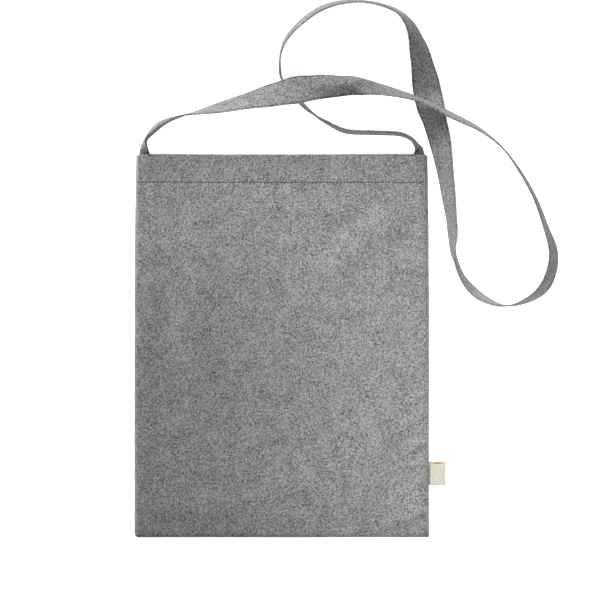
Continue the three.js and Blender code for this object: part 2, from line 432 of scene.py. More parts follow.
@dataclass
class ClothShell:
    """A closed sheet of cloth between two grids of points, with a rounded rim.

    The grids are rows by columns by 3, in millimetres, and place is the flat place of each point
    on the cloth, rows by columns by 2, in millimetres.
    """

    name: str
    outer: Array
    inner: Array
    place: Array
    rim: float = 0.9

    def _border(self) -> Array:
        """Indices of the grid's border points, once round.

        Returns:
            The indices.
        """
        rows, columns = self.outer.shape[:2]
        index = np.arange(rows * columns).reshape(rows, columns)
        return np.concatenate([index[0, :-1], index[:-1, -1], index[-1, :0:-1], index[:0:-1, 0]])

    def _rim_points(self, border: Array) -> Array:
        """Points of the rounded rim, outside the middle of the cloth's edge.

        Args:
            border: Indices of the border points.

        Returns:
            One point for each border point.
        """
        rows, columns = self.outer.shape[:2]
        i, j = np.divmod(border, columns)
        inside_i = np.clip(i, 1, rows - 2)
        inside_j = np.clip(j, 1, columns - 2)
        outer, inner = self.outer[i, j], self.inner[i, j]
        middle = (outer + inner) / 2
        inside = (self.outer[inside_i, inside_j] + self.inner[inside_i, inside_j]) / 2
        thick = np.linalg.norm(outer - inner, axis=-1, keepdims=True)
        return middle + unit(middle - inside) * thick * 0.5 * self.rim

    def build(self, materials: Sequence[Material]) -> Piece:
        """Makes the mesh object.

        Args:
            materials: The outer face's material, then the inner face's where it differs.

        Returns:
            The object, smooth shaded, with its map in millimetres.
        """
        rows, columns = self.outer.shape[:2]
        count = rows * columns
        border = self._border()
        sides = [self.outer.reshape(-1, 3), self.inner.reshape(-1, 3)]
        points = np.concatenate([*sides, self._rim_points(border)])
        flat = self.place.reshape(-1, 2)
        uv = np.concatenate([flat, flat, flat[border]])
        index = np.arange(count).reshape(rows, columns)
        corners = [index[:-1, :-1], index[:-1, 1:], index[1:, 1:], index[1:, :-1]]
        quads = np.stack(corners, axis=-1).reshape(-1, 4)
        rim = 2 * count + np.arange(len(border))
        after, rim_after = np.roll(border, -1), np.roll(rim, -1)
        upper = np.stack([after, border, rim, rim_after], axis=-1)
        lower = np.stack([rim_after, rim, border + count, after + count], axis=-1)
        faces = np.concatenate([quads, quads[:, ::-1] + count, upper, lower])
        a, b, c, d = (points[faces[:, k]] for k in range(4))
        volume = np.einsum("ij,ij->", a, np.cross(b, c)) + np.einsum("ij,ij->", a, np.cross(c, d))
        if volume < 0:
            faces = faces[:, ::-1]
        slots = np.zeros(len(faces), dtype=np.int32)
        slots[len(quads) : 2 * len(quads)] = len(materials) - 1
        made = mesh_object(self.name, points, faces.tolist(), slots, materials)
        layer = made.data.uv_layers.new(name=CLOTH_UV)
        loops = np.empty(len(made.data.loops), dtype=np.int32)
        made.data.loops.foreach_get("vertex_index", loops)
        layer.data.foreach_set("uv", uv[loops].astype(np.float32).ravel())
        return made


@dataclass(frozen=True)
class Section:
    """A section of the front panel.

    It has its half width, top height, width of the fall to the seam, how far the middle sags, and the
    share of the height that the seam's roll takes up.
    """

    y: float
    half: float
    crown: float
    fall: float
    sag: float
    edge: float


@dataclass(frozen=True)
class Fold:
    """A soft fold: middle, crease direction in degrees, reach along and across it, and height."""

    x: float
    y: float
    angle: float
    along: float
    across: float
    height: float

    def height_at(self, x: Array, y: Array) -> Array:
        """Height that the fold adds.

        Args:
            x: Places across the bag.
            y: Places along it.

        Returns:
            Heights.
        """
        c, s = math.cos(math.radians(self.angle)), math.sin(math.radians(self.angle))
        along = ((x - self.x) * c + (y - self.y) * s) / self.along
        across = ((y - self.y) * c - (x - self.x) * s) / self.across
        return self.height * np.exp(-(along**2) - across**2)


@dataclass(frozen=True)
class Ripple:
    """A wave in the cloth whose crests drift.

    It has its length over two pi, height and shift, the sway, length and shift of the drift, and the
    height that it swings about.
    """

    length: float
    height: float = 1.0
    shift: float = 0.0
    sway: float = 0.0
    drift: float = 1.0
    drift_shift: float = 0.0
    base: float = 0.0

    def at(self, place: Array) -> Array:
        """Height of the wave at each place."""
        lead = self.sway * np.sin(place / self.drift + self.drift_shift)
        return self.base + self.height * np.sin(place / self.length + self.shift + lead)


@dataclass
class PanelShape:
    """The pouch's outline and the lie of its front panel, in millimetres."""

    wall: float = 1.0
    mouth_y: float = 190.0
    bottom_y: float = -191.0
    hem_depth: float = 28.0
    hem_layer: float = 1.0
    hem_side_clear: float = 4.5
    hem_edge: float = 0.3
    stitch_rise: float = 1.0
    groove_width: float = 0.75
    seam_gap: float = 0.3
    bottom_fall: float = 45.0
    seam_roll: float = 3.4
    even_share: float = 0.55
    corner_radius: dict[Side, float] = field(
        default_factory=lambda: {Side.LEFT: 4.0, Side.RIGHT: 1.2}
    )
    sections: tuple[Section, ...] = (
        Section(191, 145.2, 15.0, 20, 5.0, 1.0), Section(163, 145.8, 12.4, 20, 2.8, 0.92),
        Section(110, 146.5, 10.0, 40, 0.8, 0.5), Section(40, 146.9, 9.0, 46, 0, 0.42),
        Section(-80, 146.9, 8.8, 46, 0, 0.42), Section(-191, 146.9, 8.6, 46, 0, 0.42),
    )
    folds: tuple[Fold, ...] = (
        Fold(96, -150, 38, 60, 13, -0.8), Fold(70, -118, 35, 75, 16, 0.7),
        Fold(40, -70, 58, 80, 24, -0.6), Fold(112, -30, 80, 90, 22, 0.7),
        Fold(-104, -60, 92, 110, 26, -0.6), Fold(-60, 60, 70, 90, 30, 0.5),
    )

    @property
    def hem_y(self) -> float:
        """Height of the hem's lower edge."""
        return self.mouth_y - self.hem_depth

    @property
    def stitch_y(self) -> float:
        """Height of the hem's stitch line."""
        return self.hem_y + self.stitch_rise

    @property
    def stitch_half(self) -> float:
        """Half width of the pouch at the stitch line."""
        return float(self.section(np.array([self.stitch_y]))["half"][0])

    @property
    def seam_top(self) -> float:
        """Height of the front panel's face at the seams."""
        return 2 * self.wall + self.seam_gap

    def section(self, y: Array) -> dict[str, Array]:
        """Section values, eased between the rows of the table.

        Args:
            y: Heights on the bag.

        Returns:
            half, crown, fall, sag and edge at those heights.
        """
        rows = self.sections
        names = ("half", "crown", "fall", "sag", "edge")
        found = {name: np.full(np.shape(y), getattr(rows[0], name), float) for name in names}
        for above, below in zip(rows, rows[1:]):
            t = smoothstep(-np.asarray(y, float), -above.y, -below.y)
            for name, values in found.items():
                values += (getattr(below, name) - getattr(above, name)) * t
        return found

    def inset(self, x: Array, y: Array) -> Array:
        """Distance in from the nearer side seam."""
        return self.section(y)["half"] - np.abs(x)

    def half_width(self, y: Array, side: Side) -> Array:
        """Half width on one side, drawn in round the lower corner.

        Args:
            y: Heights on the bag.
            side: The side.

        Returns:
            Half widths.
        """
        radius = self.corner_radius[side]
        inset = np.clip(radius - (y - self.bottom_y), 0.0, radius)
        return self.section(y)["half"] - (radius - np.sqrt(radius**2 - inset**2))

    def hem(self, y: Array) -> Array:
        """Thickness that the hem's turned layer adds."""
        return self.hem_layer * smoothstep(y, self.hem_y - self.hem_edge, self.hem_y + self.hem_edge)

    def groove(self, y: Array) -> Array:
        """Share of the stitch groove's depth."""
        return np.exp(-(((y - self.stitch_y) / self.groove_width) ** 2))

    def front_top(self, x: Array, y: Array) -> Array:
        """Top face of the front panel.

        Args:
            x: Places across the bag.
            y: Places along it.

        Returns:
            Heights over the floor.
        """
        section = self.section(y)

        def fall_off(distance: Array, fall: Array | float) -> Array:
            """Rise from 0 at a seam to 1 at the full fall, part of it in the seam's roll."""
            roll, slope = (1 - (1 - np.clip(distance / reach, 0, 1)) ** 2 for reach in (self.seam_roll, fall))
            return section["edge"] * roll + (1 - section["edge"]) * slope

        half = np.where(x < 0, self.half_width(y, Side.LEFT), self.half_width(y, Side.RIGHT))
        side = fall_off(half - np.abs(x), section["fall"])
        bottom = fall_off(y - self.bottom_y, self.bottom_fall)
        middle = 1 - (x / section["half"]) ** 2
        folds = sum(fold.height_at(x, y) for fold in self.folds)
        body = section["crown"] - self.seam_top + folds - section["sag"] * middle**2
        return self.seam_top + body * side * bottom

    def columns(self, count: int) -> Array:
        """Places across a panel from -1 to 1, closer near the seams."""
        t = np.linspace(-1, 1, count)
        return self.even_share * t + (1 - self.even_share) * np.sin(math.pi / 2 * t)

    def across(self, shares: Array, y: Array) -> Array:
        """X of rows by columns, from places of -1 to 1 for the columns and heights for the rows."""
        left, right = self.half_width(y, Side.LEFT), self.half_width(y, Side.RIGHT)
        return shares[None, :] * np.where(shares < 0, left[:, None], right[:, None])

    def rows(self, step: float) -> Array:
        """Heights of a panel's rows, closer at the bottom seam, the hem's stitches and the mouth.

        Args:
            step: Distance between the even rows.

        Returns:
            The heights, from the bottom up.
        """
        even = np.arange(self.bottom_y + 4, self.mouth_y - 2, step)
        low = self.bottom_y + np.array([0, 0.4, 1.0, 1.8, 2.8])
        hem = self.hem_y + np.array([-1.2, -0.6, 0.0, 0.5, 1.0, 1.5, 2.1])
        mouth = self.mouth_y - np.array([1.2, 0.5, 0.0])
        apart = even[np.min(np.abs(even[:, None] - hem[None, :]), axis=1) > 0.35]
        return np.unique(np.concatenate([low, apart, hem, mouth]))

    def grid(self, step: float, count: int) -> tuple[Array, Array]:
        """Places of a panel's points.

        Args:
            step: Distance between the even rows.
            count: Number of columns.

        Returns:
            X and Y, each as rows by columns.
        """
        y = self.rows(step)
        x = self.across(self.columns(count), y)
        return x, np.broadcast_to(y[:, None], x.shape)


@dataclass
class FrontPanel:
    """The upper cloth panel with its turned hem."""

    shape: PanelShape
    cloth: Material
    groove: float = 0.34
    pucker: float = 0.2
    side_phase: float = 1.7
    side_reach: float = 7.0
    foot_reach: float = 6.0
    foot_share: float = 0.8
    pucker_clear: float = 1.4
    crease_clear: float = 2.5
    slack_clear: float = 9.0
    slack_slow: float = 0.2
    slack_fine: float = 0.12
    streak: float = 0.1
    streak_rise: Pair = (-16.0, 3.0)
    streak_end: Pair = (-4.0, 1.0)
    hem_swell: float = 0.22
    swell_rise: Pair = (0.6, 5.0)
    row_step: float = 1.9
    column_count: int = 151
    creases: tuple[Fold, ...] = (
        Fold(138, -50, 24, 13, 2.7, 2.3), Fold(126, -80, 30, 16, 3.4, 1.4),
        Fold(138, -99, 27, 14, 2.8, 2.5), Fold(136, -118, 6, 15, 2.6, 1.6),
        Fold(130, -141, 28, 15, 3.2, 1.8), Fold(138, -166, 30, 14, 3.0, 2.8),
        Fold(112, -176, 24, 20, 4.2, 1.8), Fold(82, -181, 18, 18, 3.8, 1.4),
    )
    seam_rises: tuple[Fold, ...] = (
        Fold(146, 95, 90, 100, 17, 1.9), Fold(146, -120, 90, 90, 15, 2.2),
        Fold(-146, -40, 90, 170, 17, 1.7),
    )
    broad_folds: tuple[Fold, ...] = (
        Fold(-86, 36, 90, 120, 15, 2.9), Fold(-118, 10, 90, 95, 14, -2.3),
        Fold(68, 121, 38, 46, 11, -2.2), Fold(78, 97, 37, 46, 12, 2.5), Fold(92, -105, 84, 60, 16, 3.0),
        Fold(120, -108, 90, 66, 15, -3.2), Fold(121, 45, 90, 55, 13, -1.6),
        Fold(66, -22, 62, 26, 11, 2.2), Fold(99, 10, 75, 24, 11, 1.8), Fold(68, 184, 90, 18, 8, 1.9),
        Fold(103, 184, 90, 18, 8, 1.9),
    )

    def _puckers(self, x: Array, y: Array) -> Array:
        """Ripples where the cloth is drawn in along the side and bottom seams.

        Args:
            x: Places across the bag.
            y: Places along it.

        Returns:
            Heights.
        """
        half = self.shape.section(y)["half"]
        height = np.zeros(np.shape(x))
        for side in Side:
            phase = self.side_phase * side.value
            close = Ripple(1.9, sway=2.1, drift=23, drift_shift=phase).at(y)
            wide = Ripple(3.3, 0.7, shift=phase, sway=1.3, drift=31).at(y)
            strength = 0.45 + 0.55 * Ripple(37, shift=2 * phase).at(y) ** 2
            seam = half - side.value * x
            drawn = fade(seam, self.side_reach) * (1 - fade(seam, self.pucker_clear))
            height += (close + wide) * strength * drawn
        foot = y - self.shape.bottom_y
        along = Ripple(2.3, sway=1.7, drift=27).at(x) + Ripple(4.1, 0.8, 1.1).at(x)
        drawn = fade(foot, self.foot_reach) * (1 - fade(foot, self.pucker_clear))
        return self.pucker * (height + self.foot_share * along * drawn)

    def _lie(self, x: Array, y: Array) -> Array:
        """Lie of the whole thickness of the cloth, with its creases but without its surface marks.

        Args:
            x: Places across the bag.
            y: Places along it.

        Returns:
            Heights over the floor.
        """
        seam = np.minimum(self.shape.inset(x, y), y - self.shape.bottom_y)
        folds = (*self.creases, *self.seam_rises, *self.broad_folds)
        height = sum(fold.height_at(x, y) for fold in folds)
        return self.shape.front_top(x, y) + height * (1 - fade(seam, self.crease_clear))

    def _hem_marks(self, x: Array, y: Array) -> Array:
        """Stitch groove, the turned layer's edge and the streaks that the hem shows.

        Args:
            x: Places across the bag.
            y: Places along it.

        Returns:
            Heights.
        """
        rise = y - self.shape.stitch_y
        end = smoothstep(y - self.shape.mouth_y, *self.streak_end)
        above = smoothstep(rise, *self.streak_rise) * (1 - end)
        close = Ripple(2.9, sway=1.9, drift=19).at(x)
        wide = Ripple(4.7, shift=0.8, sway=1.0, drift=41).at(x) + Ripple(8.3, 0.8).at(x)
        swell = self.hem_swell * smoothstep(rise, *self.swell_rise)
        return self.streak * (close + wide) * above + swell - self.groove * self.shape.groove(y)

    def _slack(self, x: Array, y: Array) -> Array:
        """Slow unevenness of cloth that lies loose.

        Args:
            x: Places across the bag.
            y: Places along it.

        Returns:
            Heights.
        """
        slow = np.sin(x / 21 + 1.3 * np.sin(y / 47)) * np.sin(y / 26 + 0.9 * np.sin(x / 39))
        fine = np.sin((x + 0.6 * y) / 9.5 + np.sin(y / 33)) * np.sin((y - 0.4 * x) / 13 + np.sin(x / 29))
        return self.slack_slow * slow + self.slack_fine * fine

    def height(self, x: Array, y: Array) -> Array:
        """Top face of the cloth with all its marks.

        Args:
            x: Places across the bag.
            y: Places along it.

        Returns:
            Heights over the floor.
        """
        inside = 1 - fade(self.shape.inset(x, y), self.slack_clear)
        rise = inside * (1 - fade(y - self.shape.bottom_y, self.slack_clear))
        marks = self._puckers(x, y) + self._slack(x, y) * rise + self._hem_marks(x, y) * inside
        return self._lie(x, y) + marks

    def normal(self, x: Array, y: Array) -> Array:
        """Outward normals of the top face.

        Args:
            x: Places across the bag.
            y: Places along it.

        Returns:
            Unit vectors.
        """
        step = 0.2
        slope_x = (self.height(x + step, y) - self.height(x - step, y)) / (2 * step)
        slope_y = (self.height(x, y + step) - self.height(x, y - step)) / (2 * step)
        return unit(np.stack([-slope_x, -slope_y, np.ones(np.shape(x))], axis=-1))

    def build(self) -> Piece:
        """Makes the panel's object.

        Returns:
            The object.
        """
        x, y = self.shape.grid(self.row_step, self.column_count)
        outer = np.stack([x, y, self.height(x, y)], axis=-1)
        plain = self._lie(x, y)
        slope = np.gradient(plain, axis=1) / np.gradient(x, axis=1)
        down = unit(np.stack([slope, np.zeros(x.shape), -np.ones(x.shape)], axis=-1))
        thick = self.shape.wall + self.shape.hem(y)
        inner = np.stack([x, y, plain], axis=-1) + down * thick[..., None]
        return ClothShell("front_panel_cloth", outer, inner, flat_place(outer)).build([self.cloth])


@dataclass
class BackPanel:
    """The lower cloth panel that the bag lies on, with the same hem."""

    shape: PanelShape
    cloth: Material
    groove: float = 0.3
    draw: Ripple = Ripple(2.4, 0.08, sway=1.0, drift=29, base=0.1)
    seam_reach: float = 4.0
    hem_ease: float = 0.6
    row_step: float = 3.2
    column_count: int = 91

    def under(self, x: Array, y: Array) -> Array:
        """Lower face: flat on the floor, with the stitch groove and drawn-in seams let into it."""
        drawn = fade(self.shape.inset(x, y), self.seam_reach) * self.draw.at(y)
        return self.groove * self.shape.groove(y) + drawn

    def build(self) -> Piece:
        """Makes the panel's object.

        Returns:
            The object.
        """
        shape = self.shape
        x, y = shape.grid(self.row_step, self.column_count)
        clear = shape.hem_side_clear
        in_hem = smoothstep(shape.inset(x, y), clear - self.hem_ease, clear)
        inner = np.stack([x, y, shape.wall + shape.hem(y) * in_hem], axis=-1)
        outer = np.stack([x, y, self.under(x, y)], axis=-1)
        place = np.stack([x, y], axis=-1)
        return ClothShell("back_panel_cloth", outer, inner, place).build([self.cloth])


@dataclass(frozen=True)
class Station:
    """A row of the strap's route: place, lift of its lowest edge, roll and lengthwise fold in degrees."""

    x: float
    y: float
    lift: float
    roll: float
    fold: float


@dataclass
class ShoulderStrap:
    """The long sewn strap, laid in loops from one corner of the mouth to the other."""

    cloth: Material
    width: float = 28.0
    end_width: float = 22.0
    taper: float = 48.0
    thick: float = 1.6
    fold_zone: float = 8.0
    stitch_in: float = 1.3
    step: float = 2.0
    wobble: float = 3.0
    wobble_clear: Pair = (90.0, 150.0)
    edge_round: float = 0.8
    edge_thinning: float = 0.75
    stitch_draw: float = 0.2
    draw_reach: float = 0.6
    half_shares: tuple[float, ...] = (
        0, 0.16, 0.3, 0.44, 0.58, 0.7, 0.78, 0.825, 0.857, 0.885, 0.93, 0.965, 0.986, 1.0
    )
    route: tuple[Station, ...] = (
        Station(-141.4, 167, 2.5, 90, 180), Station(-141.4, 180, 2.5, 90, 180),
        Station(-141.2, 191.5, 2.4, 90, 170), Station(-139.6, 198.5, 1, 90, 85),
        Station(-135.8, 205.2, 0.5, 90, 10), Station(-130.6, 214.2, 0.4, 90, 34),
        Station(-123, 222, 0.4, 91, 44), Station(-112, 226.4, 0.4, 92, 24),
        Station(-98, 229.5, 0.4, 94, 4), Station(-67, 235.6, 5.5, 112, 2),
        Station(-31, 242.9, 19.5, 131, 1), Station(4.5, 250.6, 30.8, 158, 4),
        Station(23, 254.3, 31, 161, 12), Station(43, 258.4, 25.5, 160, 56),
        Station(63, 259.8, 21.5, 168, 97), Station(81, 261.4, 16.8, 140, 83),
        Station(102, 253.8, 12.8, 116, 7), Station(141, 242.4, 11, 103, 0),
        Station(161.5, 231.2, 15, 106, 0), Station(179, 223.5, 9.5, 105.5, 0),
        Station(197, 214.8, 3.6, 101, 0), Station(219, 197.5, 0.8, 97, 0),
        Station(237, 173.5, 0.4, 100, 0), Station(251.5, 147.5, 0.4, 102, 0),
        Station(262.7, 117.5, 0.4, 106, 0), Station(269.9, 94, 0.4, 112.5, 0),
        Station(268.4, 75.5, 0.4, 116.5, 0), Station(261, 59, 0.4, 114.5, 0),
        Station(246, 47, 0.4, 103, 0), Station(224, 40.4, 0.4, 90, 0), Station(204.5, 45.6, 0.4, 77, 0),
        Station(188, 58.5, 0.4, 71, -8), Station(174, 87, 0.4, 87, -32),
        Station(170.9, 109, 0.4, 104, -8), Station(168, 133, 0.4, 109, 0),
        Station(159.3, 195, 0.4, 129, 0), Station(153, 222, 0.7, 144, 0),
        Station(148.3, 240, 0.7, 165, 0), Station(145, 256, 0.7, 183, 0), Station(142, 271, 0.7, 202, 0),
        Station(138.5, 287, 0.4, 219, 0), Station(134, 304, 0.4, 234, 0),
        Station(127.4, 319.8, 0.4, 247, 0), Station(115, 333, 0.4, 256, 0),
        Station(80, 342.8, 0.4, 259, 0), Station(41.5, 336.8, 0.4, 255, 0),
        Station(8.5, 311, 0.4, 259, 0), Station(0, 295, 0.4, 265, 0), Station(-1.8, 280, 0.4, 271, 0),
        Station(0.4, 264.5, 0.4, 274, 0), Station(19.7, 241.2, 0.4, 280, 0),
        Station(31.5, 230.5, 0.4, 276, 3), Station(46, 220.5, 0.4, 269, 11),
        Station(62.9, 214.6, 0.4, 267, -8), Station(89.7, 213.3, 0.4, 267, -12),
        Station(116.6, 210.4, 0.4, 268, 4), Station(127.7, 208.3, 0.4, 271, -18),
        Station(135.2, 201.3, 0.6, 275, -40), Station(139.7, 196.6, 1, 247, -95),
        Station(141.3, 192.6, 2.4, 262, -172), Station(141.4, 180, 2.5, 270, -180),
        Station(141.4, 167, 2.5, 270, -180),
    )

    def __post_init__(self) -> None:
        """Works out the route's frames at close, even steps."""
        rolls = np.radians([row.roll for row in self.route])
        folds = np.radians([row.fold for row in self.route])
        across = np.linspace(-1, 1, 29)[None, :] * self.width / 2
        p, q, _, _ = self._folded(across, folds[:, None])
        lowest = (p * np.sin(rolls)[:, None] - q * np.cos(rolls)[:, None]).min(axis=1)
        lift = np.array([row.lift for row in self.route]) + self.thick / 2 - lowest
        places = np.stack([[row.x for row in self.route], [row.y for row in self.route], lift], axis=-1)
        middle = self._through(places, 0.25)
        turns = self._through(np.stack([rolls, folds], axis=-1), 0.0)
        length = np.concatenate([[0], np.cumsum(np.linalg.norm(np.diff(middle, axis=0), axis=1))])
        self.length = float(length[-1])
        self.stops = np.linspace(0, self.length, int(self.length / self.step) + 1)
        self.middle = np.stack([np.interp(self.stops, length, middle[:, k]) for k in range(3)], axis=-1)
        self.roll, self.fold = (np.interp(self.stops, length, turns[:, k]) for k in range(2))
        loose = smoothstep(np.minimum(self.stops, self.length - self.stops), *self.wobble_clear)
        sway = Ripple(6.1, sway=1.9, drift=37).at(self.stops) + Ripple(10.7, 0.8, 1.1).at(self.stops)
        self.roll = self.roll + math.radians(self.wobble) * sway * loose * np.cos(self.roll) ** 2

    @staticmethod
    def _through(rows: Array, power: float, steps: int = 24) -> Array:
        """Smooth curve through rows of values, by cubic pieces.

        Args:
            rows: The rows that it passes through.
            power: Spacing of the rows as this power of their squared distance, 0 for even.
            steps: Points for each piece.

        Returns:
            Points of the curve.
        """
        ends = np.concatenate([[2 * rows[0] - rows[1]], rows, [2 * rows[-1] - rows[-2]]])
        gaps = np.sum(np.diff(ends, axis=0) ** 2, axis=1) ** power if power else np.ones(len(ends) - 1)
        found = []
        for k in range(1, len(ends) - 2):
            p0, p1, p2, p3 = ends[k - 1 : k + 3]
            d0, d1, d2 = gaps[k - 1 : k + 2]
            start = ((p1 - p0) / d0 - (p2 - p0) / (d0 + d1) + (p2 - p1) / d1) * d1
            end = ((p2 - p1) / d1 - (p3 - p1) / (d1 + d2) + (p3 - p2) / d2) * d1
            t = np.linspace(0, 1, steps, endpoint=False)[:, None]
            square = 3 * (p2 - p1) - 2 * start - end
            cube = 2 * (p1 - p2) + start + end
            found.append(p1 + start * t + square * t**2 + cube * t**3)
        return np.concatenate([*found, rows[-1:]])

    def _folded(self, s: Array, angle: Array) -> tuple[Array, ...]:
        """Section of a strap that is folded lengthwise.

        Args:
            s: Places across the strap, from its middle.
            angle: Fold in radians.

        Returns:
            Place across, place off the bulging face, and both parts of the normal.
        """
        in_zone = np.clip(s, -self.fold_zone / 2, self.fold_zone / 2)
        turn = angle * in_zone / self.fold_zone
        straight = s - in_zone
        flat = np.abs(angle) < 1e-4
        radius = self.fold_zone / np.where(flat, 1.0, angle)
        p = np.where(flat, in_zone, radius * np.sin(turn)) + straight * np.cos(turn)
        q = np.where(flat, 0.0, radius * (np.cos(turn) - 1)) - straight * np.sin(turn)
        return p, q, np.sin(turn), np.cos(turn)

    def half_thick(self, inset: Array) -> Array:
        """Half thickness at a distance from the edge, drawn in at the stitches and rounded at the edge.

        Args:
            inset: Distances from the strap's edge.

        Returns:
            Half thicknesses.
        """
        round_in = np.clip(1 - inset / self.edge_round, 0, 1)
        drawn = self.stitch_draw * np.exp(-(((inset - self.stitch_in) / self.draw_reach) ** 2))
        return self.thick / 2 * np.sqrt(1 - self.edge_thinning * round_in**2) - drawn

    def _middle_at(self, stop: Array) -> Array:
        """Points of the middle line at distances along the strap."""
        reach = np.clip(stop, 0, self.length)
        return np.stack([np.interp(reach, self.stops, self.middle[:, k]) for k in range(3)], axis=-1)

    def place(
        self, stop: Array, share: Array, inset: Array, side: int, proud: float = 0.0
    ) -> tuple[Array, ...]:
        """Points on a face of the strap.

        Args:
            stop: Distances along the strap.
            share: Side of the middle line, as -1, 0 or 1, or a share of half the width.
            inset: Distance in from the edge that share counts from.
            side: 1 for the face that a fold bulges to, -1 for the other.
            proud: Height over the face.

        Returns:
            Points, and unit vectors along the strap, across it and off the face.
        """
        along = self._middle_at(stop + 1) - self._middle_at(stop - 1)
        level = unit(along * np.array([1.0, 1.0, 0.0]))
        left = np.stack([-level[..., 1], level[..., 0], np.zeros(np.shape(stop))], axis=-1)
        up = np.array([0.0, 0.0, 1.0])
        roll = np.interp(stop, self.stops, self.roll)[..., None]
        fold = np.interp(stop, self.stops, self.fold)
        to_end = np.clip(np.minimum(stop, self.length - stop), 0, None)
        widening = smoothstep(to_end, self.taper / 2, self.taper)
        half = (self.end_width + (self.width - self.end_width) * widening) / 2
        across = np.cos(roll) * left + np.sin(roll) * up
        bulge = np.sin(roll) * left - np.cos(roll) * up
        s = share * half - np.sign(share) * inset
        p, q, normal_p, normal_q = self._folded(s, fold)
        off = side * (self.half_thick(half - np.abs(s)) + proud)
        point = (
            self._middle_at(stop)
            + across * (p + off * normal_p)[..., None]
            + bulge * (q + off * normal_q)[..., None]
        )
        off_face = side * (across * normal_p[..., None] + bulge * normal_q[..., None])
        along = unit(along)
        return point, along, unit(np.cross(off_face, along)), off_face

    def build(self) -> Piece:
        """Makes the strap's object.

        Returns:
            The object.
        """
        halves = np.array(self.half_shares)
        shares = np.concatenate([-halves[:0:-1], halves])
        stop = np.broadcast_to(self.stops[:, None], (len(self.stops), len(shares)))
        share = np.broadcast_to(shares[None, :], stop.shape)
        zero = np.zeros(stop.shape)
        outer = self.place(stop, share, zero, ClothFace.OUTER.value)[0]
        inner = self.place(stop, share, zero, ClothFace.INNER.value)[0]
        place = np.stack([share * self.width / 2, stop], axis=-1)
        return ClothShell("strap_cloth", outer, inner, place, rim=0.7).build([self.cloth])


@dataclass
class SideLabel:
    """The small loop of tape in the right side seam."""

    tape: Material
    # Material of the loop's inner face: a darker ochre that paints the shade inside the loop and its warm
    # bounce.
    inside: Material
    seam_x: float = 147.75
    thick: float = 0.8
    reach: float = 16.05
    top_y: float = -116.0
    bottom_y: float = -138.8
    gape: float = 2.4
    fold_radius: float = 1.35
    low_z: float = 0.6
    root_z: float = 1.85
    mouth_share: float = 0.12
    sway: float = 0.12

    def build(self) -> Piece:
        """Makes the label's object.

        Returns:
            The object.
        """
        fold_x = self.seam_x + self.reach - self.fold_radius - self.thick / 2
        run = fold_x - self.seam_x
        turn = np.linspace(0, math.pi, 15)[1:-1]
        low = np.linspace(0, 1, 16)
        high = np.linspace(1, 0, 22)
        bend = fold_x + self.fold_radius * np.sin(turn)
        x = np.concatenate([self.seam_x + run * low, bend, self.seam_x + run * high])
        top_z = self.low_z + 2 * self.fold_radius
        slope = self.root_z + (top_z - self.root_z) * np.sin(math.pi / 2 * high) ** 0.8
        bend = self.low_z + self.fold_radius * (1 - np.cos(turn))
        z = np.concatenate([np.full(len(low), self.low_z), bend, slope])
        line = np.stack([x, z], axis=-1)
        tangent = unit(np.gradient(line, axis=0))
        normal = np.stack([tangent[:, 1], -tangent[:, 0]], axis=-1)
        lens = np.sin(math.pi * np.clip(1.02 - high, 0, 1)) ** 0.55
        opening = np.maximum(lens, self.mouth_share * (high > 0.5))
        turned = np.linspace(0, self.mouth_share, len(turn))
        gape = self.gape * np.concatenate([np.zeros(len(low)), turned, opening])[:, None]
        steps = np.linspace(0, 1, 25)
        y = self.top_y - gape + (self.bottom_y - self.top_y + gape) * steps
        sway = self.sway * np.sin(steps * 7 + 0.6)[None, :] * np.linspace(0, 1, len(x))[:, None]
        faces = []
        for side in ClothFace:
            off = line + normal * side.value * self.thick / 2
            faces.append(np.stack([np.broadcast_to(off[:, :1], y.shape), y, off[:, 1:] + sway], axis=-1))
        length = np.concatenate([[0], np.cumsum(np.linalg.norm(np.diff(line, axis=0), axis=1))])
        place = np.stack([np.broadcast_to(length[:, None], y.shape), y], axis=-1)
        # The inner face takes the darker ochre tape: painted shade inside the loop.
        return ClothShell("label_tape", faces[0], faces[1], place).build([self.tape, self.inside])


